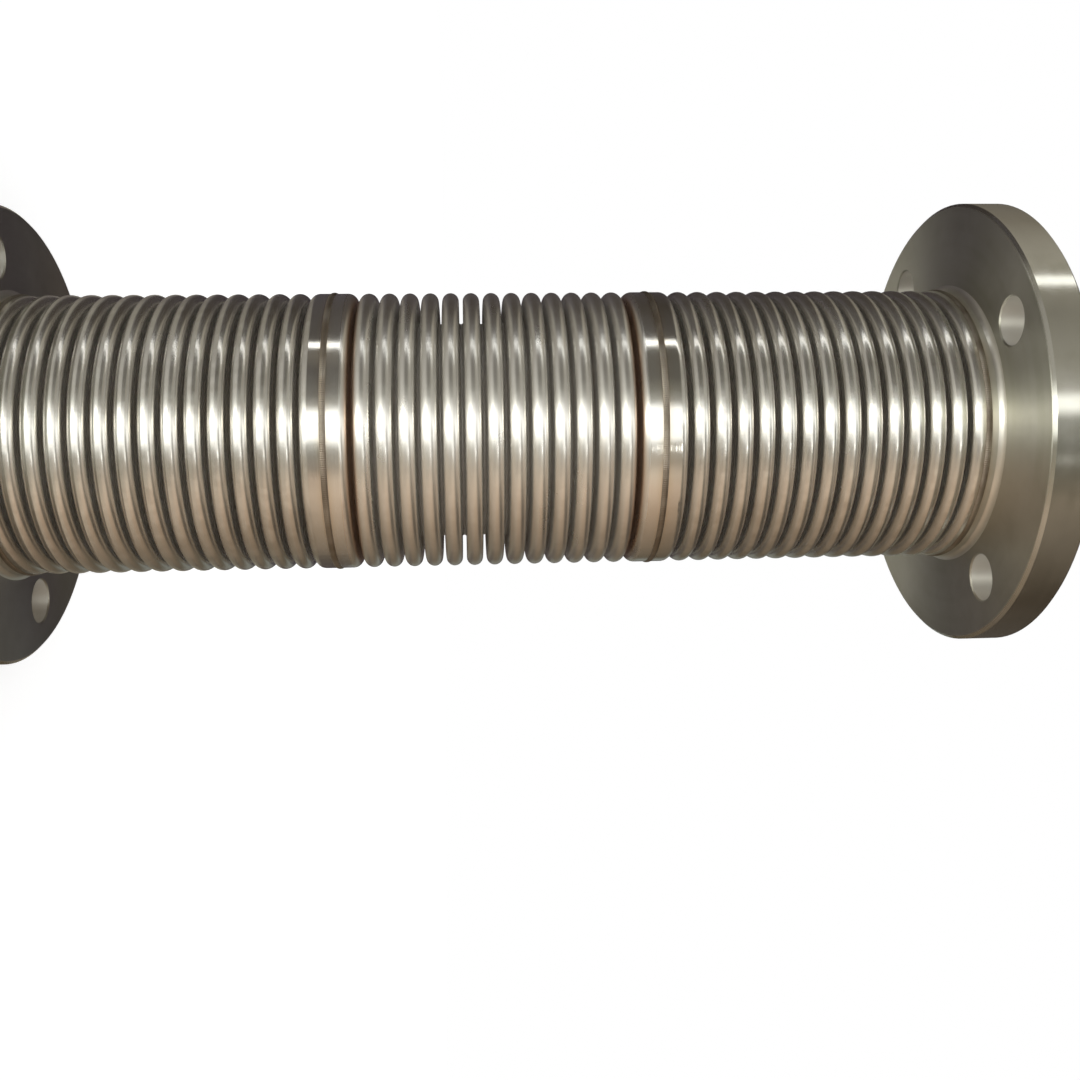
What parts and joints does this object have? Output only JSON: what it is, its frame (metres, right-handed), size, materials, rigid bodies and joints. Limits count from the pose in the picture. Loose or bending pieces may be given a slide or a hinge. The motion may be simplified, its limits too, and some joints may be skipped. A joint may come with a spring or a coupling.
{
  "type": "vacuum bellows hose",
  "caption": "Straight stainless vacuum bellows hose: convoluted sections joined by plain welded bands, with a round bolted flange at each end.",
  "frame": {"origin": "centre of the lower flange's sealing face", "axes": "+Z along the hose axis from the lower flange to the upper flange; +X through one bolt hole of the upper flange"},
  "size_m": [0.14, 0.14, 0.3197],
  "materials": {
    "flange_steel": "turned stainless steel, fine concentric lathe marks",
    "collar_steel": "turned stainless steel, smooth",
    "bellows_steel": "formed stainless sheet, semi-bright",
    "weld_steel": "stainless weld bead, straw to brown heat tint"
  },
  "bodies": {
    "root": {"lower_flange": "flange_steel", "upper_flange": "flange_steel", "lower_collar": "collar_steel", "upper_collar": "collar_steel", "lower_joining_ring": "collar_steel", "upper_joining_ring": "collar_steel", "lower_bellows": "bellows_steel", "middle_bellows": "bellows_steel", "upper_bellows": "bellows_steel", "lower_flange_weld": "weld_steel", "lower_collar_weld": "weld_steel", "lower_joint_weld": "weld_steel", "upper_joint_weld": "weld_steel", "upper_collar_weld": "weld_steel", "upper_flange_weld": "weld_steel"}
  },
  "joints": []
}
